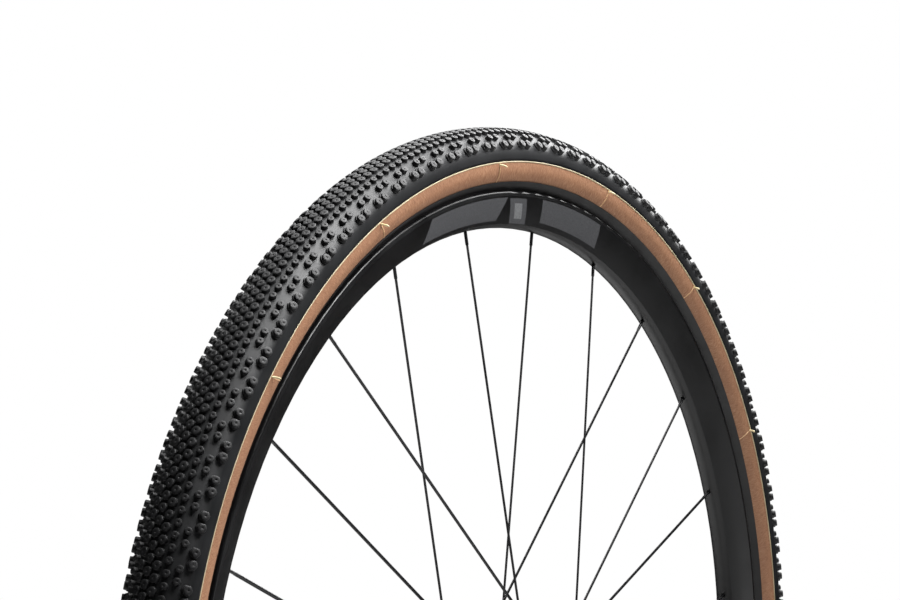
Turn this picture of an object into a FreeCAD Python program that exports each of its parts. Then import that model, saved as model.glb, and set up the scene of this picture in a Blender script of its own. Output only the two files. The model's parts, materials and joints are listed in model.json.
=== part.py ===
import FreeCAD, Part
import math
import os
from FreeCAD import Vector

# Gravel-bike front wheel with its tubeless tyre mounted, 44-622 on a 23 mm deep hookless rim.
# Millimetres. Origin at the wheel's centre, +Y along the axle towards the disc side, +Z up,
# +X forward. "right" is the -Y side and "left" is the +Y side, as seen by the rider.

# ---- driving dimensions -------------------------------------------------------------------
# Tyre section, in polar form about its own centre: angle 0 is the crown, 90 the widest point.
SECTION_CENTRE_R = 334.0      # wheel radius at the section's centre
CARCASS_CROWN = 19.0          # section radius of the casing at the crown
CARCASS_WIDE_GAIN = 1.3       # how much wider than tall the casing is
SKIRT = [(86.0, 20.65), (79.0, 21.15), (71.0, 21.75)]     # angle and radius of the smooth tread edge
KNOB_TOP = 22.35              # section radius over the tops of the centre knobs
SHOULDER_KNOB_GAIN = 2.85     # how much further out the knobs would stand at the side
TREAD_EDGE_ANGLE = SKIRT[0][0]  # where the black tread ends and the tan sidewall shows
KNOB_FIELD_ANGLE = 65.0       # outer edge of the shoulder knobs
PLY_THICK = 0.9
BELT_THICK = 0.4
BELT_ANGLE = 50.0
CHAFER_THICK = 0.35
CHAFER_TOP_R = 323.0
BOND_GAP = 0.05               # bond line between the tyre's layers
BEAD_CENTRE = (313.6, 7.65)   # wheel radius and side offset of a bead core
BEAD_CORE_R = 1.2
SIDE_LINE = [(312.3, 9.65), (314.8, 9.65), (317.6, 10.1), (320.2, 12.65), (323.0, 16.1), (328.6, 19.4)]

# Rim, with its bead seat at 622 mm.
BEAD_SEAT_R = 311.0
RIM_LIP_R = 317.4
RIM_NOSE_R = 294.8
RIM_INNER_HALF = 10.2
RIM_OUTER_HALF = 14.2
CHANNEL_R = 307.6             # bottom of the rim's centre channel
CHANNEL_HALF = 4.9
SHELF_HALF = 6.9              # inner edge of the bead shelves
CAVITY_FLOOR_R = 298.8
TAPE_THICK = 0.25
ACCESS_HOLE_R = 4.0
SPOKE_HOLE_R = 1.5
VALVE_HOLE_R = 3.3

# Spokes: 24, laced two-cross, with straight-gauge ends and a bladed middle.
SPOKE_COUNT = 24
FIRST_SPOKE_ANGLE = 158.0
HUB_LEAD_ANGLE = 60.0         # angle between a spoke's rim hole and its hub hole
NIPPLE_SEAT_R = 299.25
SPOKE_R = 1.0
ELBOW_R = 1.15
BLADE_HALF_WIDE = 1.15
BLADE_HALF_THIN = 0.475
ROUND_HUB_END = 22.0
ROUND_RIM_END = 12.5
THREAD_END = 5.0              # how far a spoke runs into its nipple

# Hub, 100 mm between the dropouts, for a 12 mm through axle.
HUB_HALF = 50.0
AXLE_BORE_R = 6.1
AXLE_R = 7.5
FLANGE_HALF_THICK = 1.4
RIGHT_FLANGE_Y = -35.7
LEFT_FLANGE_Y = 16.5
HOLE_CIRCLE_R = 29.0
FLANGE_HOLE_R = 1.3
BEARING_Y = 41.5
BEARING_HALF = 3.5
BEARING_OUT_R = 14.0
BALL_CIRCLE_R = 10.75
BALL_R = 1.985
BALL_COUNT = 10
FIT_GAP = 0.02                # radial gap of the parts that sit in or on one another

# Valve, at the bottom of the rim, pointing at the hub along +Z.
STEM_R = 3.0
STEM_TIP_Z = -258.0

Y_AXIS = Vector(0, 1, 0)
Z_AXIS = Vector(0, 0, 1)
ORIGIN = Vector(0, 0, 0)


# ---- helpers ------------------------------------------------------------------------------
def save(shape, node):
    shape.exportStep(os.path.join("parts", node + ".step"))


def flat(point):
    """A (wheel radius, side offset) pair as a point of the XY plane, ready to revolve."""
    return Vector(point[0], point[1], 0)


def line(p, q):
    return Part.LineSegment(flat(p), flat(q)).toShape()


def arc(p, middle, q):
    return Part.Arc(flat(p), flat(middle), flat(q)).toShape()


def smooth(points):
    curve = Part.BSplineCurve()
    curve.interpolate([flat(p) for p in points])
    return curve.toShape()


def chain(points):
    return [line(p, q) for p, q in zip(points[:-1], points[1:])]


def closed_face(edges):
    return Part.Face(Part.Wire(edges))


def polygon(points):
    return closed_face(chain(points + points[:1]))


def one_face(shape):
    return shape.removeSplitter().Faces[0]


def revolve(face):
    return face.revolve(ORIGIN, Y_AXIS, 360)


def mirrored(points):
    return [(r, -y) for r, y in reversed(points)]


def tube(inner_r, outer_r, y0, y1):
    """A plain ring about the axle from y0 to y1."""
    return revolve(polygon([(inner_r, y0), (outer_r, y0), (outer_r, y1), (inner_r, y1)]))


def offset(points, distance):
    """The line of points moved outwards, away from the tyre's inside, by distance."""
    moved = []
    for i, (r, y) in enumerate(points):
        before = points[max(i - 1, 0)]
        after = points[min(i + 1, len(points) - 1)]
        run_r = after[0] - before[0]
        run_y = after[1] - before[1]
        length = math.hypot(run_r, run_y)
        moved.append((r + distance * run_y / length, y - distance * run_r / length))
    return moved


def section_point(angle, radius):
    a = math.radians(angle)
    return (SECTION_CENTRE_R + radius * math.cos(a), radius * math.sin(a))


def spread(limit, count):
    return [limit * (2.0 * i / (count - 1) - 1.0) for i in range(count)]


# ---- tyre ---------------------------------------------------------------------------------
def carcass_radius(angle):
    return CARCASS_CROWN + CARCASS_WIDE_GAIN * math.sin(math.radians(angle)) ** 2


def knob_top(angle):
    """The knobs' tops make a squarer section than the casing under them."""
    return KNOB_TOP + SHOULDER_KNOB_GAIN * abs(math.sin(math.radians(angle))) ** 1.7


def carcass_line():
    """The casing's outside from the right bead over the crown to the left bead."""
    crown = [section_point(a, carcass_radius(a)) for a in spread(TREAD_EDGE_ANGLE, 13)]
    return [(r, -y) for r, y in SIDE_LINE] + crown + list(reversed(SIDE_LINE))


def carcass_fill(distance):
    """The whole section inside the carcass line moved outwards by distance."""
    points = offset(carcass_line(), distance)
    return closed_face([smooth(points), line(points[-1], points[0])])


def sector(angle):
    reach = 60.0
    centre = (SECTION_CENTRE_R, 0.0)
    return polygon([centre, section_point(-angle, reach), (SECTION_CENTRE_R + reach, 0.0), section_point(angle, reach)])


def bead_bulge(side):
    """The bead's wedge, from heel to toe, on the rim's shelf."""
    heel = [(314.8, 9.65), (312.3, 9.65), (311.45, 8.9), (311.45, 6.5)]
    toe = [(311.45, 6.5), (312.2, 5.7), (314.2, 5.6), (316.4, 7.3)]
    top = [(316.4, 7.3), (317.6, 9.7), (316.6, 9.9), (314.8, 9.65)]
    edges = chain([(r, side * y) for r, y in heel])
    edges.append(smooth([(r, side * y) for r, y in toe]))
    edges += chain([(r, side * y) for r, y in top])
    return closed_face(edges)


def bead_core(side):
    return Part.makeTorus(BEAD_CENTRE[0], BEAD_CORE_R, Vector(0, side * BEAD_CENTRE[1], 0), Y_AXIS)


def casing():
    wall = carcass_fill(0.0).cut(carcass_fill(-PLY_THICK))
    for side in (-1, 1):
        wall = wall.fuse(bead_bulge(side))
    body = revolve(one_face(wall))
    for side in (-1, 1):
        pocket = Part.makeTorus(BEAD_CENTRE[0], BEAD_CORE_R + FIT_GAP, Vector(0, side * BEAD_CENTRE[1], 0), Y_AXIS)
        body = body.cut(pocket)
    return body


def chafer(side):
    """Rubber strip over the bead, where the tyre rubs on the rim."""
    layer = carcass_fill(BOND_GAP + CHAFER_THICK).cut(carcass_fill(BOND_GAP))
    low_r = SIDE_LINE[0][0] + BOND_GAP
    window = polygon([(low_r, side * 8.0), (CHAFER_TOP_R, side * 8.0), (CHAFER_TOP_R, side * 25.0), (low_r, side * 25.0)])
    return revolve(one_face(layer.common(window)))


def puncture_belt():
    layer = carcass_fill(BOND_GAP + BELT_THICK).cut(carcass_fill(BOND_GAP))
    return revolve(one_face(layer.common(sector(BELT_ANGLE))))


def tread():
    """Tread cap out to the tops of its knobs, and the smooth skirts beside the knob field."""
    skirt = [section_point(angle, radius) for angle, radius in SKIRT]
    field = [section_point(a, knob_top(a)) for a in spread(KNOB_FIELD_ANGLE, 11)]
    left_skirt = smooth(list(reversed(skirt)))
    right_skirt = smooth([(r, -y) for r, y in skirt])
    inner_left = section_point(TREAD_EDGE_ANGLE, CARCASS_CROWN - 3.0)
    inner_right = (inner_left[0], -inner_left[1])
    edges = [
        right_skirt,
        line((skirt[-1][0], -skirt[-1][1]), field[0]),
        smooth(field),
        line(field[-1], skirt[-1]),
        left_skirt,
        line(skirt[0], inner_left),
        line(inner_left, inner_right),
        line(inner_right, (skirt[0][0], -skirt[0][1])),
    ]
    cap = closed_face(edges).cut(carcass_fill(BOND_GAP))
    belt_room = carcass_fill(2 * BOND_GAP + BELT_THICK).common(sector(BELT_ANGLE + 1.0))
    return revolve(one_face(cap.cut(belt_room)))


# ---- rim ----------------------------------------------------------------------------------
def rim_section():
    nose = (297.3, 6.0)
    flank_top = (314.2, RIM_OUTER_HALF)
    lip_out = (316.0, RIM_OUTER_HALF)
    lip_top_out = (RIM_LIP_R, 12.9)
    lip_top_in = (RIM_LIP_R, 11.7)
    lip_in = (315.9, RIM_INNER_HALF)
    edges = [arc((nose[0], -nose[1]), (RIM_NOSE_R, 0), nose)]
    for side in (1, -1):
        edges.append(arc((nose[0], side * nose[1]), (305.7, side * 10.6), (flank_top[0], side * flank_top[1])))
        edges += chain([(flank_top[0], side * flank_top[1]), (lip_out[0], side * lip_out[1])])
        edges.append(arc((lip_out[0], side * lip_out[1]), (317.0, side * 13.75), (lip_top_out[0], side * lip_top_out[1])))
        edges += chain([(lip_top_out[0], side * lip_top_out[1]), (lip_top_in[0], side * lip_top_in[1])])
        edges.append(arc((lip_top_in[0], side * lip_top_in[1]), (316.96, side * 10.64), (lip_in[0], side * lip_in[1])))
        floor = [lip_in, (BEAD_SEAT_R, RIM_INNER_HALF), (BEAD_SEAT_R, SHELF_HALF), (CHANNEL_R, CHANNEL_HALF)]
        edges += chain([(r, side * y) for r, y in floor])
    edges += chain([(CHANNEL_R, CHANNEL_HALF), (CHANNEL_R, -CHANNEL_HALF)])
    return closed_face(Part.__sortEdges__(edges))


def rim_cavity():
    half = [(CAVITY_FLOOR_R, 4.4), (303.0, 7.0), (309.2, 9.9), (309.2, 7.7), (306.2, 5.7)]
    return polygon(half + mirrored(half))


def valve_hole(radius, z0, z1):
    return Part.makeCylinder(radius, z1 - z0, Vector(0, 0, z0), Z_AXIS)


def rim():
    body = revolve(rim_section().cut(rim_cavity()).Faces[0])
    tools = []
    for spoke in SPOKES:
        tools.append(Part.makeCylinder(SPOKE_HOLE_R, 9.0, spoke["seat"] - spoke["run"] * 8.5, spoke["run"]))
        radial = Vector(math.cos(spoke["angle"]), 0, math.sin(spoke["angle"]))
        tools.append(Part.makeCylinder(ACCESS_HOLE_R, 6.0, radial * 304.0, radial))
    tools.append(valve_hole(VALVE_HOLE_R, -312.0, -290.0))
    return body.cut(tools)


def rim_tape():
    """Sealing tape laid over the channel and both shelves."""
    edge = RIM_INNER_HALF - 0.3
    top_r = BEAD_SEAT_R + TAPE_THICK
    under = [(BEAD_SEAT_R, edge), (BEAD_SEAT_R, SHELF_HALF), (CHANNEL_R, CHANNEL_HALF)]
    over = [(top_r, edge), (top_r, SHELF_HALF - 0.1), (CHANNEL_R + TAPE_THICK, CHANNEL_HALF - 0.1)]
    lift = 0.02
    bottom = [(r + lift, y) for r, y in under + mirrored(under)]
    face = polygon(bottom + list(reversed(over + mirrored(over))))
    return revolve(face).cut(valve_hole(STEM_R + 0.1, -312.0, -306.0))


# ---- spokes -------------------------------------------------------------------------------
def spoke_table():
    """Where each spoke starts and ends. Angles are about +Y, from +X towards +Z, in radians.

    Even spokes belong to the right flange and odd ones to the left. On each flange the spokes
    lean forwards and backwards in turn; the ones that leave the outer face have heads inside.
    """
    table = []
    for i in range(SPOKE_COUNT):
        right = i % 2 == 0
        outer_face = (i // 2) % 2 == 0
        lead = HUB_LEAD_ANGLE if outer_face == right else -HUB_LEAD_ANGLE
        angle = math.radians(FIRST_SPOKE_ANGLE - i * 360.0 / SPOKE_COUNT)
        hub_angle = angle + math.radians(lead)
        side = -1 if right else 1
        flange_y = RIGHT_FLANGE_Y if right else LEFT_FLANGE_Y
        step = 3.4 if outer_face else -2.55
        hole = Vector(HOLE_CIRCLE_R * math.cos(hub_angle), flange_y, HOLE_CIRCLE_R * math.sin(hub_angle))
        elbow = hole + Y_AXIS * (side * step)
        seat = Vector(NIPPLE_SEAT_R * math.cos(angle), 0, NIPPLE_SEAT_R * math.sin(angle))
        run = (seat - elbow).normalize()
        out = side if outer_face else -side
        name = "spoke_%s_%02d" % ("right" if right else "left", i // 2 + 1)
        table.append(dict(angle=angle, hole=hole, elbow=elbow, seat=seat, run=run, out=out, name=name))
    return table


def blade(start, run, length):
    across = run.cross(Y_AXIS).normalize()
    thin = run.cross(across).normalize()
    ellipse = Part.Ellipse(start + across * BLADE_HALF_WIDE, start + thin * BLADE_HALF_THIN, start)
    return Part.Face(Part.Wire([ellipse.toShape()])).extrude(run * length)


def spoke_solid(spoke):
    elbow = spoke["elbow"]
    run = spoke["run"]
    length = (spoke["seat"] - elbow).Length
    shank_out = Y_AXIS * spoke["out"]
    head_at = spoke["hole"] - shank_out * (FLANGE_HALF_THICK + 0.05)
    shank_length = (elbow - head_at).Length
    pieces = [
        Part.makeCylinder(1.9, 1.0, head_at, shank_out * -1),
        Part.makeCylinder(ELBOW_R, shank_length, head_at, shank_out),
        Part.makeSphere(ELBOW_R, elbow, run),
        Part.makeCylinder(SPOKE_R, ROUND_HUB_END, elbow, run),
        blade(elbow + run * (ROUND_HUB_END - 1.0), run, length - ROUND_HUB_END - ROUND_RIM_END + 2.0),
        Part.makeCylinder(SPOKE_R, ROUND_RIM_END + THREAD_END, elbow + run * (length - ROUND_RIM_END), run),
    ]
    return pieces[0].fuse(pieces[1:])


def nipple(spoke):
    """Internal nipple: a round seat against the rim wall and a slim barrel for the key."""
    seat = spoke["seat"]
    run = spoke["run"]
    body = Part.makeCylinder(2.3, 1.8, seat, run).fuse(Part.makeCylinder(1.75, 6.2, seat, run))
    return body.cut(Part.makeCylinder(SPOKE_R + 0.03, 9.0, seat - run * 0.2, run))


SPOKES = spoke_table()


# ---- valve --------------------------------------------------------------------------------
def z_ring(inner_r, outer_r, z0, z1):
    outer = Part.makeCylinder(outer_r, z1 - z0, Vector(0, 0, z0), Z_AXIS)
    return outer.cut(Part.makeCylinder(inner_r, z1 - z0 + 2.0, Vector(0, 0, z0 - 1.0), Z_AXIS))


def valve_stem():
    stem = Part.makeCylinder(STEM_R, STEM_TIP_Z + 311.0, Vector(0, 0, -311.0), Z_AXIS)
    collar = Part.makeCylinder(4.2, 1.0, Vector(0, 0, -311.0), Z_AXIS)
    passage = Part.makeCylinder(1.2, 60.0, Vector(0, 0, -312.0), Z_AXIS)
    core_room = Part.makeCylinder(2.0, 11.5, Vector(0, 0, STEM_TIP_Z - 10.5), Z_AXIS)
    return stem.fuse(collar).cut(passage).cut(core_room)


def valve_grommet():
    """Rubber foot that seals against the taped channel."""
    foot = Part.makeCone(5.6, 3.6, 1.9, Vector(0, 0, -309.9), Z_AXIS)
    return foot.cut(Part.makeCylinder(STEM_R + 0.03, 6.0, Vector(0, 0, -312.0), Z_AXIS))


def valve_lock_nut():
    body = z_ring(STEM_R + 0.06, 5.4, -292.5, -288.8)
    notch_count = 16
    notches = []
    for i in range(notch_count):
        a = math.radians(i * 360.0 / notch_count)
        notches.append(Part.makeCylinder(0.35, 5.0, Vector(5.45 * math.cos(a), 5.45 * math.sin(a), -293.0), Z_AXIS))
    return body.cut(notches)


def valve_o_ring():
    return Part.makeTorus(4.05, 0.9, Vector(0, 0, -293.55), Z_AXIS)


def valve_core():
    barrel = Part.makeCylinder(1.95, 12.0, Vector(0, 0, STEM_TIP_Z - 10.0), Z_AXIS)
    flats = Part.makeCylinder(2.3, 2.6, Vector(0, 0, STEM_TIP_Z + 0.1), Z_AXIS)
    trimmed = flats.common(Part.makeBox(3.6, 5.0, 3.0, Vector(-1.8, -2.5, STEM_TIP_Z)))
    return barrel.fuse(trimmed).cut(Part.makeCylinder(0.65, 20.0, Vector(0, 0, STEM_TIP_Z - 11.0), Z_AXIS))


def valve_pin():
    return Part.makeCylinder(0.5, 15.5, Vector(0, 0, STEM_TIP_Z - 6.0), Z_AXIS)


def valve_knob():
    """Thumb nut on the pin, shown backed off so that the pin can be pressed."""
    return z_ring(0.5 + FIT_GAP, 1.6, STEM_TIP_Z + 5.0, STEM_TIP_Z + 7.8)


def valve_cap():
    outside = Part.makeCylinder(3.8, 20.0, Vector(0, 0, STEM_TIP_Z - 7.0), Z_AXIS)
    crown = Part.makeCone(3.8, 3.0, 1.5, Vector(0, 0, STEM_TIP_Z + 13.0), Z_AXIS)
    inside = Part.makeCylinder(STEM_R + 0.1, 19.5, Vector(0, 0, STEM_TIP_Z - 8.0), Z_AXIS)
    return outside.fuse(crown).cut(inside)


# ---- hub ----------------------------------------------------------------------------------
def hub_shell():
    """Flanged shell, with a splined boss for the disc rotor on the left."""
    end = 46.6
    seat_end = BEARING_Y - BEARING_HALF
    f = FLANGE_HALF_THICK
    right = RIGHT_FLANGE_Y
    left = LEFT_FLANGE_Y
    outline = [
        (BEARING_OUT_R, -end), (16.0, -end), (17.2, right - f - 3.0), (17.2, right - f),
        (HOLE_CIRCLE_R + 3.4, right - f), (HOLE_CIRCLE_R + 3.8, right), (HOLE_CIRCLE_R + 3.4, right + f),
        (17.2, right + f), (12.6, right + 14.0), (12.6, left - 14.0), (18.5, left - f),
        (HOLE_CIRCLE_R + 3.4, left - f), (HOLE_CIRCLE_R + 3.8, left), (HOLE_CIRCLE_R + 3.4, left + f),
        (20.0, left + f), (20.0, 26.0), (17.6, 26.0), (17.6, 36.0), (16.2, 37.0), (16.2, end),
        (BEARING_OUT_R, end), (BEARING_OUT_R, seat_end), (12.2, seat_end), (12.2, seat_end - 1.5),
        (9.6, seat_end - 4.0), (9.6, -seat_end + 4.0), (12.2, -seat_end + 1.5), (12.2, -seat_end), (BEARING_OUT_R, -seat_end),
    ]
    tools = []
    for spoke in SPOKES:
        tools.append(Part.makeCylinder(FLANGE_HOLE_R, 4.0, spoke["hole"] - Y_AXIS * 2.0, Y_AXIS))
    spline_count = 26
    for i in range(spline_count):
        groove = Part.makeBox(3.0, 8.0, 1.6, Vector(16.6, 28.5, -0.8))
        groove.rotate(ORIGIN, Y_AXIS, i * 360.0 / spline_count)
        tools.append(groove)
    return revolve(polygon(outline)).cut(tools)


def axle_tube():
    tube_part = tube(AXLE_BORE_R, AXLE_R, -46.0, 46.0)
    shoulder = BEARING_Y - BEARING_HALF - FIT_GAP
    return tube_part.fuse(tube(AXLE_R - 0.5, 8.6, -shoulder, shoulder))


def end_cap(side):
    """Stepped cap over the axle's end; its flat outer face bears on the dropout."""
    y_face = side * HUB_HALF
    y_step = side * 46.05
    y_back = side * (BEARING_Y + BEARING_HALF + FIT_GAP)
    outline = [
        (AXLE_BORE_R, y_face), (9.3, y_face), (9.5, y_face - side * 0.2), (9.5, side * 45.6), (8.6, side * 45.6),
        (8.6, y_back), (AXLE_R + FIT_GAP, y_back), (AXLE_R + FIT_GAP, y_step), (AXLE_BORE_R, y_step),
    ]
    return revolve(polygon(outline))


def race_groove(side):
    return Part.makeTorus(BALL_CIRCLE_R, BALL_R + 0.04, Vector(0, side * BEARING_Y, 0), Y_AXIS)


def bearing_race(side, inner_r, outer_r):
    y0 = side * BEARING_Y - BEARING_HALF
    return tube(inner_r, outer_r, y0 + FIT_GAP, y0 + 2 * BEARING_HALF - FIT_GAP).cut(race_groove(side))


def bearing_balls(side):
    balls = []
    for i in range(BALL_COUNT):
        a = math.radians(i * 360.0 / BALL_COUNT)
        centre = Vector(BALL_CIRCLE_R * math.cos(a), side * BEARING_Y, BALL_CIRCLE_R * math.sin(a))
        balls.append(Part.makeSphere(BALL_R, centre))
    return balls


def bearing_cage(side):
    """Ring with a round pocket, bored from outside, for each ball."""
    ring = tube(BALL_CIRCLE_R - 0.7, BALL_CIRCLE_R + 0.7, side * BEARING_Y - 2.5, side * BEARING_Y + 2.5)
    pockets = []
    for i in range(BALL_COUNT):
        a = math.radians(i * 360.0 / BALL_COUNT)
        radial = Vector(math.cos(a), 0, math.sin(a))
        start = radial * (BALL_CIRCLE_R - 3.0) + Y_AXIS * (side * BEARING_Y)
        pockets.append(Part.makeCylinder(BALL_R + 0.06, 6.0, start, radial))
    return ring.cut(pockets)


def bearing_seals(side):
    rings = []
    for face in (-1, 1):
        y_mid = side * BEARING_Y + face * 3.0
        rings.append(tube(9.55, 12.05, y_mid - 0.2, y_mid + 0.2))
    return Part.makeCompound(rings)


def dust_cover(side):
    low, high = sorted((side * 45.2, side * 46.4))
    return tube(9.75, BEARING_OUT_R - FIT_GAP, low, high)


# ---- build --------------------------------------------------------------------------------
def main():
    os.makedirs("parts", exist_ok=True)
    save(tread(), "tread")
    save(puncture_belt(), "puncture_belt")
    save(casing(), "casing")
    save(rim(), "rim")
    save(rim_tape(), "rim_tape")
    save(Part.makeCompound([nipple(s) for s in SPOKES]), "spoke_nipples")
    for spoke in SPOKES:
        save(spoke_solid(spoke), spoke["name"])
    save(valve_stem(), "valve_stem")
    save(valve_grommet(), "valve_grommet")
    save(valve_o_ring(), "valve_o_ring")
    save(valve_lock_nut(), "valve_lock_nut")
    save(valve_core(), "valve_core")
    save(valve_pin(), "valve_pin")
    save(valve_knob(), "valve_knob")
    save(valve_cap(), "valve_cap")
    save(hub_shell(), "hub_shell")
    save(axle_tube(), "axle_tube")
    for name, side in (("right", -1), ("left", 1)):
        save(bead_core(side), "bead_core_" + name)
        save(chafer(side), "chafer_" + name)
        save(end_cap(side), "end_cap_" + name)
        save(dust_cover(side), "dust_cover_" + name)
        save(bearing_race(side, 12.1, BEARING_OUT_R - FIT_GAP), "bearing_%s_outer_race" % name)
        save(bearing_race(side, AXLE_R + FIT_GAP, 9.4), "bearing_%s_inner_race" % name)
        save(Part.makeCompound(bearing_balls(side)), "bearing_%s_balls" % name)
        save(bearing_cage(side), "bearing_%s_cage" % name)
        save(bearing_seals(side), "bearing_%s_seals" % name)


main()
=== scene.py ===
import json
import math

import bpy
import numpy as np
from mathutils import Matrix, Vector


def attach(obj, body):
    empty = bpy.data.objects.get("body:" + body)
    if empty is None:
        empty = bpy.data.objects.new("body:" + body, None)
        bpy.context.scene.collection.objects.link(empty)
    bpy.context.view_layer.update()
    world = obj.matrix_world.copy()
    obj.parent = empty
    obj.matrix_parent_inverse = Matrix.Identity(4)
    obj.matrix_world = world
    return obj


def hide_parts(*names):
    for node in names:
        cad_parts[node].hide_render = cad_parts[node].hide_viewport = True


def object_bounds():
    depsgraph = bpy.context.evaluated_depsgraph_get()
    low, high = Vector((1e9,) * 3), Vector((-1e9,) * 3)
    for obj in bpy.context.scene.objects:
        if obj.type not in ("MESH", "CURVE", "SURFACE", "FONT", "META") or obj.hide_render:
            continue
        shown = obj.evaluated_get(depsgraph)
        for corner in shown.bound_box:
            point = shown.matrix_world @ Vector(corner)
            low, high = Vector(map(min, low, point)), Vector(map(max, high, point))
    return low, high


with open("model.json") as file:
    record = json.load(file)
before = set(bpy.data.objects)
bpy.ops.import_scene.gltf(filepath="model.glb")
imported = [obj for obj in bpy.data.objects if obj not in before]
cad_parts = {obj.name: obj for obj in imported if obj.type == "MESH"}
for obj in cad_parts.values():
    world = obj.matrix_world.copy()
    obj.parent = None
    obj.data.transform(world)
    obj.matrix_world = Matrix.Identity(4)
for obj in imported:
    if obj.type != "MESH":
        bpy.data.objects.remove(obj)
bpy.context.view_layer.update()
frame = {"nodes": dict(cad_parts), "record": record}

# A mounted gravel tyre: the knobbly tread and the tan sidewalls are modelled here over the CAD
# frame, and the rim, spokes, hub, bearings and valve are the frame's own nodes with better materials.
# Metres, wheel centre at the origin, axle along Y. "th" is the angle round the wheel from +X
# towards +Z, and "ph" the angle round the tyre's section from the crown, positive towards +Y.

MM = 0.001
TURN = 2 * math.pi

# ---- tyre section ---------------------------------------------------------------------------
SECTION_R = 334.0 * MM          # wheel radius at the middle of the tyre's section
CARCASS_CROWN = 19.0 * MM
CARCASS_WIDE_GAIN = 1.3 * MM
BASE_LINE = [(0.0, 20.5), (22.0, 20.75), (45.0, 21.3), (58.0, 21.75),
             (66.0, 21.95), (72.0, 21.7), (79.0, 21.15), (86.0, 20.65)]  # degrees from the crown, mm
BASE_THICKNESS = 0.3 * MM
KNOB_TOP = 22.35 * MM           # from the section's middle to a crown knob's top
SHOULDER_GAIN = 2.85 * MM       # that much more towards the shoulder
SHOULDER_POWER = 1.7
TREAD_EDGE = math.radians(BASE_LINE[-1][0])
CROWN_R = SECTION_R + KNOB_TOP
SIDE_LINE = [(312.3, 9.65), (314.8, 9.65), (317.6, 10.1), (320.2, 12.65), (323.0, 16.1), (328.6, 19.4)]  # mm
CASING_THICKNESS = 0.9 * MM

# ---- tread pattern --------------------------------------------------------------------------
PITCHES = 330                   # knobs round one full row
PITCH = TURN / PITCHES
MISSING_AT = math.radians(153.07)  # centre of one gap in the row beside the shoulder
ROW_ANGLES = [0.0, 13.2, 28.8, 44.6, 60.0]  # of the rows of knobs, from the crown outwards
HEX_CORNER_CUT = 0.16           # share of a side taken off at each corner of a knob
KNOB_CREASE = 35.0              # degrees between faces from which a knob's edge stays sharp

# ---- sidewall pattern -----------------------------------------------------------------------
VENTS = 16                      # thin ribs across each sidewall
FIRST_VENT = math.radians(5.7)
RIB_FOOT_MM = 322.8
RIB_RISE_MM = 11.0
RIB_WIDTH = 0.75 * MM
RIB_HEIGHT = 0.26 * MM
WHISKER_R_MM = 333.6
WHISKER_LENGTH = 5.2 * MM
WHISKER_RADIUS = 0.6 * MM
WHISKER_TIP_RADIUS = 0.35 * MM
PALE_EDGE_MM = (334.55, 335.35)
PALE_EDGE_HEIGHT = 0.42 * MM

# ---- mesh fineness --------------------------------------------------------------------------
TREAD_STEPS = 990
SIDEWALL_STEPS = 720


def base_radius(ph):
    a = abs(math.degrees(ph))
    return float(np.interp(a, BASE_ANGLES, BASE_RADII)) * MM


def top_radius(ph):
    return KNOB_TOP + SHOULDER_GAIN * abs(math.sin(ph)) ** SHOULDER_POWER


def skin_point(th, ph, rho):
    r = SECTION_R + rho * math.cos(ph)
    return (r * math.cos(th), rho * math.sin(ph), r * math.sin(th))


def smooth_line(points, per_span):
    """Points along a smooth curve through the given ones."""
    line = []
    for k in range(len(points) - 1):
        p0 = points[max(k - 1, 0)]
        p1 = points[k]
        p2 = points[k + 1]
        p3 = points[min(k + 2, len(points) - 1)]
        for j in range(per_span):
            t = j / per_span
            line.append(tuple(
                0.5 * (2 * b + (c - a) * t + (2 * a - 5 * b + 4 * c - d) * t * t
                       + (3 * b - a - 3 * c + d) * t ** 3)
                for a, b, c, d in zip(p0, p1, p2, p3)))
    line.append(points[-1])
    return line


BASE_ANGLES, BASE_RADII = zip(*smooth_line(BASE_LINE, 8))


# ---- mesh helpers ---------------------------------------------------------------------------
def add_mesh(name, verts, faces):
    mesh = bpy.data.meshes.new(name)
    mesh.from_pydata([tuple(v) for v in verts], [], faces)
    mesh.validate()
    mesh.update()
    mesh.shade_smooth()
    piece = bpy.data.objects.new(name, mesh)
    bpy.context.scene.collection.objects.link(piece)
    return piece


def lathe(name, outline, steps):
    """Turns a closed outline of (wheel radius, y) points about the axle."""
    verts = []
    count = len(outline)
    for i in range(steps):
        th = TURN * i / steps
        c = math.cos(th)
        s = math.sin(th)
        verts += [(r * c, y, r * s) for r, y in outline]
    faces = []
    for i in range(steps):
        here = i * count
        there = ((i + 1) % steps) * count
        for k in range(count):
            n = (k + 1) % count
            faces.append((here + k, there + k, there + n, here + n))
    return add_mesh(name, verts, faces)


def finish_piece(piece, body, slot, material, *nodes):
    piece.data.materials.clear()
    piece.data.materials.append(material)
    if nodes:
        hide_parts(*nodes)
    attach(piece, body)
    return piece


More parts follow.
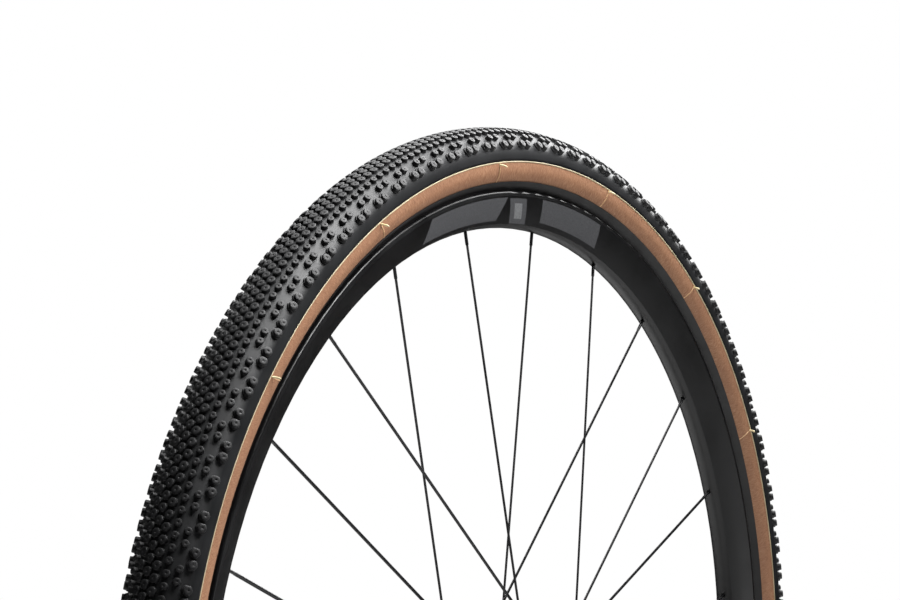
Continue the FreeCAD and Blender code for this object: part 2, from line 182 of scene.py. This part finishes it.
# ---- node helpers ---------------------------------------------------------------------------
class Nodes:
    """A material's node tree, with short calls for the nodes used here."""

    def __init__(self, name, base, roughness, metallic=0.0, **settings):
        self.material = bpy.data.materials.new(name)
        self.material.use_nodes = True
        self.tree = self.material.node_tree
        self.shader = self.tree.nodes["Principled BSDF"]
        self.shader.inputs["Base Color"].default_value = (*base, 1.0)
        self.shader.inputs["Roughness"].default_value = roughness
        self.shader.inputs["Metallic"].default_value = metallic
        for socket, value in settings.items():
            self.shader.inputs[socket.replace("_", " ")].default_value = value
        self.place = self.tree.nodes.new("ShaderNodeTexCoord").outputs["Object"]

    def new(self, kind, **settings):
        node = self.tree.nodes.new(kind)
        for key, value in settings.items():
            setattr(node, key, value)
        return node

    def feed(self, socket, value):
        if isinstance(value, bpy.types.NodeSocket):
            self.tree.links.new(value, socket)
        else:
            socket.default_value = value

    def math(self, operation, a, b=0.0):
        node = self.new("ShaderNodeMath", operation=operation)
        for socket, value in zip(node.inputs, (a, b)):
            self.feed(socket, value)
        return node.outputs[0]

    def noise(self, place, scale, detail=3.0, roughness=0.5):
        node = self.new("ShaderNodeTexNoise")
        self.feed(node.inputs["Vector"], place)
        node.inputs["Scale"].default_value = scale
        node.inputs["Detail"].default_value = detail
        node.inputs["Roughness"].default_value = roughness
        return node.outputs["Fac"]

    def wave(self, place, scale):
        node = self.new("ShaderNodeTexWave")
        self.feed(node.inputs["Vector"], place)
        node.inputs["Scale"].default_value = scale
        return node.outputs["Fac"]

    def ramp(self, value, stops):
        node = self.new("ShaderNodeValToRGB")
        self.feed(node.inputs["Fac"], value)
        band = node.color_ramp
        while len(band.elements) < len(stops):
            band.elements.new(0.5)
        for element, (at, colour) in zip(band.elements, stops):
            element.position = at
            element.color = (*colour, 1.0)
        return node.outputs["Color"]

    def range(self, value, low, high, to_low, to_high):
        node = self.new("ShaderNodeMapRange")
        for socket, item in zip(node.inputs, (value, low, high, to_low, to_high)):
            self.feed(socket, item)
        return node.outputs["Result"]

    def mix(self, factor, a, b):
        node = self.new("ShaderNodeMix", data_type="RGBA")
        self.feed(node.inputs["Factor"], factor)
        for socket, value in ((node.inputs[6], a), (node.inputs[7], b)):
            self.feed(socket, value if isinstance(value, bpy.types.NodeSocket) else (*value, 1.0))
        return node.outputs[2]

    def turned(self, place, angle):
        node = self.new("ShaderNodeMapping")
        self.feed(node.inputs["Vector"], place)
        node.inputs["Rotation"].default_value = (0.0, 0.0, angle)
        return node.outputs["Vector"]

    def bump(self, height, strength, distance, below=None):
        node = self.new("ShaderNodeBump")
        node.inputs["Strength"].default_value = strength
        node.inputs["Distance"].default_value = distance
        self.feed(node.inputs["Height"], height)
        if below is not None:
            self.feed(node.inputs["Normal"], below)
        return node.outputs["Normal"]

    def roughen(self, coarse, fine, low, high):
        """Roughness from low to high after coarse noise, with a little fine noise in it."""
        both = self.math("ADD", coarse, self.math("MULTIPLY", fine, 0.3))
        self.set("Roughness", self.range(both, 0.4, 0.9, low, high))

    def wheel_place(self):
        """(turn angle, wheel radius, y) sockets at the shaded point."""
        parts = self.new("ShaderNodeSeparateXYZ")
        self.feed(parts.inputs[0], self.place)
        x, y, z = parts.outputs
        angle = self.math("ARCTAN2", z, x)
        squares = self.math("ADD", self.math("MULTIPLY", x, x), self.math("MULTIPLY", z, z))
        radius = self.math("SQRT", squares)
        return angle, radius, y

    def unrolled(self, reach):
        """The surface unrolled into a strip: length round the wheel, then height, then y."""
        angle, radius, y = self.wheel_place()
        joined = self.new("ShaderNodeCombineXYZ")
        self.feed(joined.inputs[0], self.math("MULTIPLY", angle, reach))
        self.feed(joined.inputs[1], radius)
        self.feed(joined.inputs[2], y)
        return joined.outputs[0]

    def strands(self, reach, slant, across, along):
        """Noise drawn out into fine strands, slant degrees off the wheel's radius."""
        angle, radius, _ = self.wheel_place()
        run = self.math("MULTIPLY", angle, reach)
        c = math.cos(math.radians(slant))
        s = math.sin(math.radians(slant))
        over = self.math("SUBTRACT", self.math("MULTIPLY", run, c), self.math("MULTIPLY", radius, s))
        up = self.math("ADD", self.math("MULTIPLY", run, s), self.math("MULTIPLY", radius, c))
        joined = self.new("ShaderNodeCombineXYZ")
        self.feed(joined.inputs[0], self.math("MULTIPLY", over, across))
        self.feed(joined.inputs[1], self.math("MULTIPLY", up, along))
        return self.noise(joined.outputs[0], 1.0, 2.0, 0.55)

    def panel(self, middle, half_angle, radius_mm, half_mm, lean):
        """1 inside a leaning four-sided patch of a flank, in degrees and millimetres, else 0.

        The lean is in degrees of turn for each millimetre outwards.
        """
        angle, radius, _ = self.wheel_place()
        up = self.math("SUBTRACT", self.math("MULTIPLY", radius, 1000.0), radius_mm)
        turn = self.math("SUBTRACT", self.math("MULTIPLY", angle, 180.0 / math.pi), middle)
        leaning = self.math("SUBTRACT", turn, self.math("MULTIPLY", up, lean))
        side = self.range(self.math("ABSOLUTE", leaning), half_angle - 0.05, half_angle + 0.05, 1.0, 0.0)
        ends = self.range(self.math("ABSOLUTE", up), half_mm - 0.15, half_mm + 0.15, 1.0, 0.0)
        return self.math("MULTIPLY", side, ends)

    def set(self, socket, value):
        self.feed(self.shader.inputs[socket], value)


# ---- materials ------------------------------------------------------------------------------
SKIRT_FADE = (0.3420, 0.3460)   # wheel radii between which the dull skirt turns into the shinier tread
LIP_START = (0.3152, 0.3160)    # wheel radii where the rim's glossier lip begins
GREY_PANELS = ((100.7, 7.7, 306.3, 7.0, -0.06), (77.9, 6.6, 306.9, 6.7, 0.1))  # as Nodes.panel takes them
TAG = (89.4, 1.75, 305.2, 7.6, 0.12)
TAG_INSET = (89.4, 0.8, 305.2, 4.6, 0.12)


def tread_rubber():
    """The smooth, faintly shiny rubber between the knobs, duller on the skirts."""
    m = Nodes("tread_rubber_moulded", (0.02, 0.02, 0.022), 0.42, Specular_IOR_Level=0.55)
    cloud = m.noise(m.place, 45.0, 4.0, 0.55)
    grain = m.noise(m.place, 2600.0, 2.0, 0.6)
    m.set("Base Color", m.ramp(cloud, [(0.3, (0.007, 0.0073, 0.008)), (0.7, (0.015, 0.0155, 0.0168))]))
    _, radius, _ = m.wheel_place()
    m.set("Specular IOR Level", m.range(radius, *SKIRT_FADE, 0.12, 0.5))
    m.roughen(cloud, grain, 0.46, 0.62)
    m.set("Normal", m.bump(grain, 0.2, 0.00006, m.bump(cloud, 0.3, 0.0004)))
    return m.material


def knob_rubber():
    """The knobs: the same rubber, with a rather darker face, which is painted shade."""
    m = Nodes("knob_rubber_painted_shade", (0.01, 0.01, 0.011), 0.5, Specular_IOR_Level=0.42)
    cloud = m.noise(m.place, 320.0, 3.0, 0.6)
    grain = m.noise(m.place, 3200.0, 2.0, 0.6)
    # painted shade: the knobs' colour is kept darker than the same rubber between them
    m.set("Base Color", m.ramp(cloud, [(0.3, (0.005, 0.005, 0.0055)), (0.7, (0.013, 0.013, 0.014))]))
    m.roughen(cloud, grain, 0.44, 0.62)
    m.set("Normal", m.bump(grain, 0.3, 0.00008))
    return m.material


def skinwall():
    """Tan skim over fine threads that cross in both slants."""
    m = Nodes("skinwall_threads", (0.46, 0.25, 0.14), 0.55, Specular_IOR_Level=0.35)
    layers = [m.strands(0.33, slant, 3000.0, 240.0) for slant in (32.0, -24.0)]
    fibres = m.math("MULTIPLY", m.math("ADD", *layers), 0.5)
    fleck = m.strands(0.33, 32.0, 1300.0, 190.0)
    patch = m.noise(m.place, 26.0, 4.0, 0.6)
    tan = m.ramp(fibres, [
        (0.34, (0.205, 0.093, 0.048)),
        (0.5, (0.335, 0.168, 0.090)),
        (0.66, (0.475, 0.265, 0.158)),
    ])
    worn = m.mix(m.range(fleck, 0.52, 0.75, 0.0, 0.6), tan, (0.17, 0.072, 0.040))
    m.set("Base Color", m.mix(m.range(patch, 0.38, 0.68, 0.0, 0.4), worn, (0.235, 0.11, 0.062)))
    m.set("Roughness", m.range(fibres, 0.3, 0.7, 0.62, 0.46))
    m.set("Normal", m.bump(fibres, 0.45, 0.00015))
    return m.material


def cream_rubber(name, dark, light):
    m = Nodes(name, dark, 0.45, Specular_IOR_Level=0.5)
    patch = m.noise(m.place, 160.0, 3.0, 0.6)
    m.set("Base Color", m.ramp(patch, [(0.35, dark), (0.65, light)]))
    m.set("Roughness", m.range(patch, 0.3, 0.7, 0.38, 0.55))
    m.set("Normal", m.bump(patch, 0.2, 0.0001))
    return m.material


def chafer_rubber():
    m = Nodes("chafer_cloth", (0.014, 0.014, 0.015), 0.6)
    cloth = m.math("MULTIPLY", m.strands(0.32, 45.0, 1500.0, 500.0), m.strands(0.32, -45.0, 1500.0, 500.0))
    patch = m.noise(m.place, 60.0)
    m.set("Base Color", m.ramp(patch, [(0.3, (0.006, 0.006, 0.006)), (0.7, (0.013, 0.012, 0.012))]))
    m.set("Roughness", m.range(patch, 0.3, 0.7, 0.5, 0.66))
    m.set("Normal", m.bump(cloth, 0.2, 0.0001))
    return m.material


def rim_carbon():
    """Black laminate with dull grey panels and one small pale tag painted on each flank."""
    m = Nodes("rim_laminate", (0.012, 0.012, 0.013), 0.3, Specular_IOR_Level=0.36)
    patch = m.noise(m.place, 30.0, 3.0, 0.55)
    grain = m.noise(m.place, 1400.0, 2.0, 0.5)
    black = m.ramp(patch, [(0.3, (0.0018, 0.0018, 0.002)), (0.7, (0.0045, 0.0045, 0.005))])
    speck = m.noise(m.place, 900.0, 2.0, 0.6)
    grey = m.ramp(speck, [(0.3, (0.060, 0.061, 0.066)), (0.7, (0.082, 0.083, 0.088))])
    pale = m.ramp(speck, [(0.3, (0.16, 0.165, 0.17)), (0.7, (0.22, 0.225, 0.23))])
    panels = m.math("MAXIMUM", *(m.panel(*place) for place in GREY_PANELS))
    tag = m.panel(*TAG)
    inset = m.panel(*TAG_INSET)
    painted = m.mix(panels, black, grey)
    painted = m.mix(tag, painted, grey)
    m.set("Base Color", m.mix(inset, painted, pale))
    dull = m.math("MULTIPLY", m.math("MAXIMUM", panels, tag), 0.22)
    _, radius, _ = m.wheel_place()
    lip = m.range(radius, *LIP_START, 0.0, -0.05)
    m.set("Roughness", m.math("ADD", m.math("ADD", m.range(patch, 0.3, 0.7, 0.3, 0.4), dull), lip))
    m.set("Normal", m.bump(grain, 0.1, 0.00004))
    return m.material


def coated_metal(name, dark, light, roughness, metallic=0.6):
    m = Nodes(name, dark, roughness, metallic)
    patch = m.noise(m.place, 220.0, 3.0, 0.6)
    fine = m.noise(m.place, 2640.0, 2.0)
    m.set("Base Color", m.ramp(patch, [(0.3, dark), (0.7, light)]))
    m.roughen(patch, fine, roughness - 0.06, roughness + 0.08)
    m.set("Normal", m.bump(fine, 0.12, 0.00003))
    return m.material


def turned_metal(name, dark, light, roughness):
    """Machined on a lathe: fine rings about the axle."""
    m = Nodes(name, dark, roughness, 1.0)
    _, radius, y = m.wheel_place()
    along = m.math("ADD", m.math("MULTIPLY", radius, 9000.0), m.math("MULTIPLY", y, 7000.0))
    rings = m.noise(along, 1.0, 2.0)
    patch = m.noise(m.place, 90.0)
    m.set("Base Color", m.ramp(patch, [(0.3, dark), (0.7, light)]))
    m.set("Roughness", m.range(patch, 0.3, 0.7, roughness - 0.05, roughness + 0.08))
    m.set("Normal", m.bump(rings, 0.1, 0.00003))
    return m.material


def moulded(name, dark, light, roughness):
    m = Nodes(name, dark, roughness)
    patch = m.noise(m.place, 150.0, 3.0, 0.6)
    grain = m.noise(m.place, 3000.0, 2.0)
    m.set("Base Color", m.ramp(patch, [(0.3, dark), (0.7, light)]))
    m.set("Roughness", m.range(patch, 0.3, 0.7, roughness - 0.06, roughness + 0.08))
    m.set("Normal", m.bump(grain, 0.2, 0.00005))
    return m.material


def woven(name, dark, light):
    m = Nodes(name, dark, 0.7, Sheen_Weight=0.2)
    strip = m.unrolled(0.33)
    weave = m.math("MULTIPLY", *(m.wave(m.turned(strip, slant), 500.0) for slant in (0.785, -0.785)))
    m.set("Base Color", m.ramp(weave, [(0.2, dark), (0.8, light)]))
    m.set("Roughness", m.range(weave, 0.0, 1.0, 0.8, 0.6))
    m.set("Normal", m.bump(weave, 0.4, 0.0003))
    return m.material


RUBBER = tread_rubber()
# a darker copy of the tread rubber, painting shade onto the knobs
SHADED_KNOB_RUBBER = knob_rubber()
SKIN = skinwall()
CREAM = cream_rubber("cream_whisker", (0.72, 0.58, 0.30), (0.88, 0.78, 0.50))
RIB = cream_rubber("tan_rib", (0.50, 0.29, 0.14), (0.64, 0.40, 0.21))
EDGE = cream_rubber("pale_edge", (0.42, 0.36, 0.22), (0.60, 0.52, 0.34))
SLOT_FINISH = {
    "belt_fabric": woven("belt_weave", (0.16, 0.13, 0.07), (0.32, 0.27, 0.16)),
    "bead_fibre": woven("bead_braid", (0.42, 0.34, 0.13), (0.62, 0.54, 0.26)),
    "rim_carbon": rim_carbon(),
    "chafer_rubber": chafer_rubber(),
    "rim_tape": moulded("tape_film", (0.66, 0.5, 0.18), (0.78, 0.64, 0.3), 0.3),
    "nipple_alloy": coated_metal("nipple_anodised", (0.05, 0.05, 0.052), (0.09, 0.09, 0.095), 0.35),
    "spoke_steel": coated_metal("spoke_black_steel", (0.006, 0.006, 0.0065), (0.012, 0.012, 0.013),
                                0.34, 0.2),
    "hub_alloy": turned_metal("hub_anodised", (0.02, 0.02, 0.021), (0.034, 0.034, 0.036), 0.32),
    "axle_alloy": turned_metal("axle_anodised", (0.10, 0.10, 0.105), (0.16, 0.16, 0.165), 0.3),
    "race_steel": turned_metal("race_ground_steel", (0.5, 0.5, 0.51), (0.62, 0.62, 0.63), 0.22),
    "ball_steel": coated_metal("ball_polished_steel", (0.7, 0.7, 0.71), (0.78, 0.78, 0.79), 0.1, 1.0),
    "cage_plastic": moulded("cage_nylon", (0.10, 0.075, 0.05), (0.15, 0.12, 0.085), 0.5),
    "seal_rubber": moulded("seal_rubber_black", (0.012, 0.012, 0.012), (0.022, 0.022, 0.022), 0.5),
    "valve_alloy": coated_metal("valve_black_anodised", (0.022, 0.022, 0.024), (0.04, 0.04, 0.042), 0.3),
    "valve_brass": coated_metal("valve_plated_brass", (0.60, 0.50, 0.32), (0.72, 0.63, 0.45), 0.25, 1.0),
    "cap_plastic": moulded("cap_black_nylon", (0.018, 0.018, 0.018), (0.03, 0.03, 0.03), 0.45),
}


def dress_cad_nodes():
    """Gives the frame's own nodes their materials, by slot."""
    for entry in frame["record"]["subparts"]:
        finish = SLOT_FINISH.get(entry["material_slot"])
        node = frame["nodes"][entry["node"]]
        if finish is not None:
            for holder in node.material_slots:
                holder.material = finish


# ---- tread ----------------------------------------------------------------------------------
def tread_base():
    """The rubber between the knobs, down to the skirts beside the tan sidewalls."""
    count = 41
    outline = []
    for way, depth in ((-1.0, 0.0), (1.0, BASE_THICKNESS)):
        for k in range(count):
            ph = way * TREAD_EDGE * (1.0 - 2.0 * k / (count - 1))
            rho = base_radius(ph) - depth
            outline.append((SECTION_R + rho * math.cos(ph), rho * math.sin(ph)))
    return lathe("tread_base", outline, TREAD_STEPS)


def hexagon():
    """A hexagon of unit half-width across its flats, pointing sideways, its corners cut."""
    corner = 2.0 / math.sqrt(3.0)
    corners = []
    for k in range(6):
        a = math.radians(90 + 60 * k)
        corners.append((corner * math.cos(a), corner * math.sin(a)))
    points = []
    for k in range(6):
        here = corners[k]
        before = corners[k - 1]
        after = corners[(k + 1) % 6]
        for other in (before, after):
            points.append(tuple(h + (o - h) * HEX_CORNER_CUT for h, o in zip(here, other)))
    return points


HEX = hexagon()


def knob_rings(height, half, stepped):
    """(size, height above the base) of each ring from the root up into the dimple.

    A stepped knob stands on a broader foot.
    """
    root = [(1.14, -0.12 * MM), (1.08, 0.10 * MM), (1.02, 0.32 * MM)]
    if stepped:
        root = [(1.26, -0.12 * MM), (1.21, 0.30 * height), (1.16, 0.40 * height), (1.02, 0.44 * height)]
    edge = 0.14 * MM
    top = [
        (0.95, height - edge), (0.95 - 0.5 * edge / half, height - 0.3 * edge), (0.95 - edge / half, height),
        (0.26, height), (0.20, height - 0.08 * MM), (0.14, height - 0.30 * MM),
    ]
    return root + top


def knobs(name, places, half, lateral, stepped=False):
    """One mesh for many knobs. places lists (th, ph) of each; lateral widens them along ph."""
    verts = []
    faces = []
    for th0, ph0 in places:
        height = top_radius(ph0) - base_radius(ph0)
        rings = knob_rings(height, half, stepped)
        first = len(verts)
        for size, lift in rings:
            for u, v in HEX:
                ph = ph0 + v * half * lateral * size / KNOB_TOP
                th = th0 + u * half * size / CROWN_R
                floor = base_radius(ph)
                share = max(lift, 0.0) / height
                rho = floor + min(lift, 0.0) + share * (top_radius(ph) - floor)
                verts.append(skin_point(th, ph, rho))
        verts.append(skin_point(th0, ph0, base_radius(ph0) + rings[-1][1] - 0.06 * MM))
        n = len(HEX)
        for level in range(len(rings) - 1):
            a = first + level * n
            for k in range(n):
                m = (k + 1) % n
                faces.append((a + k, a + m, a + n + m, a + n + k))
        a = first + (len(rings) - 1) * n
        centre = first + len(rings) * n
        for k in range(n):
            faces.append((a + k, a + (k + 1) % n, centre))
    piece = add_mesh(name, verts, faces)
    piece.data.set_sharp_from_angle(angle=math.radians(KNOB_CREASE))
    return piece


def ring_places(row, skip):
    """Places of one row on both sides, leaving out every third pitch when skip is a number."""
    half_step = 0.5 * (row % 2)
    places = []
    for side in ((1,) if row == 0 else (-1, 1)):
        for i in range(PITCHES):
            if skip is not None and i % 3 == skip:
                continue
            th = MISSING_AT + (i + half_step - 0.5) * PITCH
            places.append((th, side * math.radians(ROW_ANGLES[row])))
    return places


def build_tread():
    finish_piece(tread_base(), "wheel", "tread_rubber", RUBBER, "tread")
    rows = [
        ("tread_knobs_centre", 0, None, 2.5 * MM, 0.98, False),
        ("tread_knobs_inner", 1, None, 2.45 * MM, 0.98, False),
        ("tread_knobs_middle", 2, None, 1.95 * MM, 1.0, False),
        ("tread_knobs_outer", 3, 0, 1.95 * MM, 1.0, False),
        ("tread_knobs_shoulder", 4, 2, 2.35 * MM, 0.95, True),
    ]
    for name, row, skip, half, lateral, stepped in rows:
        piece = knobs(name, ring_places(row, skip), half, lateral, stepped)
        finish_piece(piece, "wheel", "tread_rubber", SHADED_KNOB_RUBBER, "tread")


# ---- sidewalls ------------------------------------------------------------------------------
def outwards(line, distance):
    """The line moved outwards by distance, away from the tyre's inside."""
    moved = []
    for k, (r, y) in enumerate(line):
        before = line[max(k - 1, 0)]
        after = line[min(k + 1, len(line) - 1)]
        run_r = after[0] - before[0]
        run_y = after[1] - before[1]
        length = math.hypot(run_r, run_y)
        moved.append((r - distance * run_y / length, y + distance * run_r / length))
    return moved


def carcass(ph):
    rho = CARCASS_CROWN + CARCASS_WIDE_GAIN * math.sin(ph) ** 2
    return (SECTION_R + rho * math.cos(ph), rho * math.sin(ph))


def wall_line():
    """Outside of the tan wall on the +Y side, from the bead up to just under the tread."""
    crown = [carcass(math.radians(a)) for a in (86.0, 78.0, 70.0)]
    return smooth_line([(r * MM, y * MM) for r, y in SIDE_LINE] + crown, 6)


def mirror(line):
    return [(r, -y) for r, y in line]


def wall_point(r):
    """Side offset of the tan wall's outside at wheel radius r, and its outward slope."""
    radii, offsets = zip(*WALL)
    y = float(np.interp(r, radii, offsets))
    ahead = float(np.interp(r + 0.5 * MM, radii, offsets))
    run = math.hypot(0.5 * MM, ahead - y)
    return y, ((y - ahead) / run, 0.5 * MM / run)


def raised_rib(points, width, height, side):
    """A low rib along (angle, wheel radius) points lying on one sidewall."""
    verts = []
    faces = []
    for k, (th, r) in enumerate(points):
        before = points[max(k - 1, 0)]
        after = points[min(k + 1, len(points) - 1)]
        run_th = (after[0] - before[0]) * r
        run_r = after[1] - before[1]
        length = math.hypot(run_th, run_r)
        across = (-run_r / length, run_th / length)
        for step, lift in ((-0.5, -0.1), (-0.36, 0.8), (0.0, 1.0), (0.36, 0.8), (0.5, -0.1)):
            t = th + step * width * across[0] / r
            radius = r + step * width * across[1]
            y, (out_r, out_y) = wall_point(radius)
            radius += lift * height * out_r
            y += lift * height * out_y
            verts.append((radius * math.cos(t), side * y, radius * math.sin(t)))
    for k in range(len(points) - 1):
        for m in range(4):
            a = k * 5 + m
            faces.append((a, a + 1, a + 6, a + 5))
    return verts, faces


WALL = wall_line()


def vent_ribs():
    """Thin moulding ribs across both sidewalls, no two leaning quite alike."""
    verts = []
    faces = []
    for side in (-1, 1):
        for k in range(VENTS):
            th = FIRST_VENT + k * TURN / VENTS
            lean = math.radians(0.35 - 0.65 * math.cos(0.9 * (k - 2.6)))
            line = []
            for i in range(8):
                up = i / 7.0
                line.append((th - lean * (1.0 - up) ** 1.4, (RIB_FOOT_MM + RIB_RISE_MM * up) * MM))
            more, patches = raised_rib(line, RIB_WIDTH, RIB_HEIGHT, side)
            shift = len(verts)
            verts += more
            faces += [tuple(v + shift for v in face) for face in patches]
    return add_mesh("sidewall_vent_ribs", verts, faces)


def vent_whiskers():
    """Soft rubber whiskers left by the mould's air vents, one at the top of each rib."""
    verts = []
    faces = []
    around = 8
    for side in (-1, 1):
        for k in range(VENTS):
            th = FIRST_VENT + k * TURN / VENTS
            y0, _ = wall_point(WHISKER_R_MM * MM)
            first = len(verts)
            for j in range(7):
                along = j / 6.0
                y = y0 - 0.3 * MM + WHISKER_LENGTH * along
                r = (WHISKER_R_MM - 0.5 * along - 0.9 * along * along) * MM
                thick = WHISKER_RADIUS if j < 6 else WHISKER_TIP_RADIUS
                for m in range(around):
                    a = TURN * m / around
                    rr = r + thick * math.cos(a)
                    t = th + thick * math.sin(a) / r
                    verts.append((rr * math.cos(t), side * y, rr * math.sin(t)))
            for j in range(6):
                for m in range(around):
                    a = first + j * around
                    n = (m + 1) % around
                    faces.append((a + m, a + n, a + around + n, a + around + m))
            faces.append(tuple(first + 6 * around + m for m in range(around)))
    return add_mesh("sidewall_vent_whiskers", verts, faces)


def wall_ring(name, low_r, high_r, height, side):
    """A thin raised band on one sidewall, between two wheel radii in millimetres."""
    count = 6
    over = []
    for k in range(count + 1):
        r = (low_r + (high_r - low_r) * k / count) * MM
        y, (out_r, out_y) = wall_point(r)
        lift = height * math.sin(math.pi * (0.06 + 0.88 * k / count)) ** 0.5
        over.append((r + lift * out_r, side * (y + lift * out_y)))
    under = []
    for k in range(count, -1, -1):
        r = (low_r + (high_r - low_r) * k / count) * MM
        y, _ = wall_point(r)
        under.append((r, side * (y - 0.2 * MM)))
    return lathe(name, over + under, SIDEWALL_STEPS)


def build_sidewalls():
    crown = [carcass(math.radians(a)) for a in range(66, -67, -6)]
    outer = WALL + crown + list(reversed(mirror(WALL)))
    inner = list(reversed(outwards(outer, -CASING_THICKNESS)))
    piece = lathe("tan_casing", outer + inner, SIDEWALL_STEPS)
    finish_piece(piece, "wheel", "sidewall_skin", SKIN, "casing")
    finish_piece(vent_ribs(), "wheel", "sidewall_skin", RIB, "casing")
    finish_piece(vent_whiskers(), "wheel", "sidewall_skin", CREAM, "casing")
    for side, word in ((-1, "right"), (1, "left")):
        edge = wall_ring("pale_edge_" + word, *PALE_EDGE_MM, PALE_EDGE_HEIGHT, side)
        finish_piece(edge, "wheel", "sidewall_skin", EDGE, "casing")


build_tread()
build_sidewalls()
dress_cad_nodes()

# ---- floor, light and camera ----------------------------------------------------------------
FLOOR_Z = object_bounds()[0][2]
FLOOR_RADIUS = 1.3


def plain_floor():
    count = 96
    edge = []
    for k in range(count):
        a = TURN * k / count
        edge.append((FLOOR_RADIUS * math.cos(a), FLOOR_RADIUS * math.sin(a), FLOOR_Z))
    floor = add_mesh("floor", edge, [tuple(range(count))])
    m = Nodes("floor_paper", (0.86, 0.86, 0.86), 0.9)
    m.set("Base Color", m.ramp(m.noise(m.place, 3.0), [(0.3, (0.84, 0.84, 0.84)), (0.7, (0.88, 0.88, 0.88))]))
    floor.data.materials.append(m.material)


def softbox(name, place, towards, size_x, size_y, watts, spread):
    light = bpy.data.lights.new(name, "AREA")
    light.shape = "RECTANGLE"
    light.size = size_x
    light.size_y = size_y
    light.energy = watts
    light.spread = math.radians(spread)
    lamp = bpy.data.objects.new(name, light)
    lamp.location = place
    lamp.rotation_euler = (Vector(towards) - Vector(place)).to_track_quat("-Z", "Y").to_euler()
    bpy.context.scene.collection.objects.link(lamp)


def studio_sky():
    """White where the camera looks past the object, and a dim grey for the object itself."""
    world = bpy.data.worlds.new("studio")
    world.use_nodes = True
    tree = world.node_tree
    tree.nodes.clear()
    seen = tree.nodes.new("ShaderNodeBackground")
    seen.inputs["Color"].default_value = (1.0, 1.0, 1.0, 1.0)
    seen.inputs["Strength"].default_value = 1.0
    lit = tree.nodes.new("ShaderNodeBackground")
    lit.inputs["Color"].default_value = (1.0, 1.0, 1.0, 1.0)
    lit.inputs["Strength"].default_value = 0.03
    path = tree.nodes.new("ShaderNodeLightPath")
    mix = tree.nodes.new("ShaderNodeMixShader")
    out = tree.nodes.new("ShaderNodeOutputWorld")
    tree.links.new(path.outputs["Is Camera Ray"], mix.inputs[0])
    tree.links.new(lit.outputs[0], mix.inputs[1])
    tree.links.new(seen.outputs[0], mix.inputs[2])
    tree.links.new(mix.outputs[0], out.inputs["Surface"])
    bpy.context.scene.world = world


AZIMUTH = math.radians(-56.54)
ELEVATION = math.radians(0.35)
DISTANCE = 1.594
AIM = Vector((-0.0548, 0.0015, 0.2509))
LENS = 106.7                    # mm, on a sensor 36 mm wide


def camera():
    data = bpy.data.cameras.new("camera")
    data.lens = LENS
    data.sensor_width = 36.0
    data.clip_end = 50.0
    eye = bpy.data.objects.new("camera", data)
    back = Vector((
        math.sin(AZIMUTH) * math.cos(ELEVATION),
        -math.cos(AZIMUTH) * math.cos(ELEVATION),
        math.sin(ELEVATION)))
    eye.location = AIM + back * DISTANCE
    eye.rotation_euler = back.to_track_quat("Z", "Y").to_euler()
    bpy.context.scene.collection.objects.link(eye)
    bpy.context.scene.camera = eye


plain_floor()
studio_sky()
softbox("back_top_box", (0.75, 0.75, 1.25), (-0.1, 0.0, 0.3), 1.5, 1.3, 6.0, 120.0)
softbox("side_top_box", (1.25, -0.05, 1.10), (0.0, 0.0, 0.34), 1.5, 1.0, 15.0, 100.0)
softbox("top_box", (0.0, -0.25, 1.45), (-0.2, 0.0, 0.3), 1.0, 0.7, 8.5, 90.0)
softbox("front_top_box", (0.1, -0.8, 1.2), (-0.1, 0.0, 0.42), 0.6, 0.45, 2.4, 50.0)
softbox("low_fill", (0.75, -1.6, -0.12), (0.3, 0.0, 0.1), 0.6, 0.4, 1.1, 120.0)
camera()
bpy.context.scene.view_settings.view_transform = "Standard"
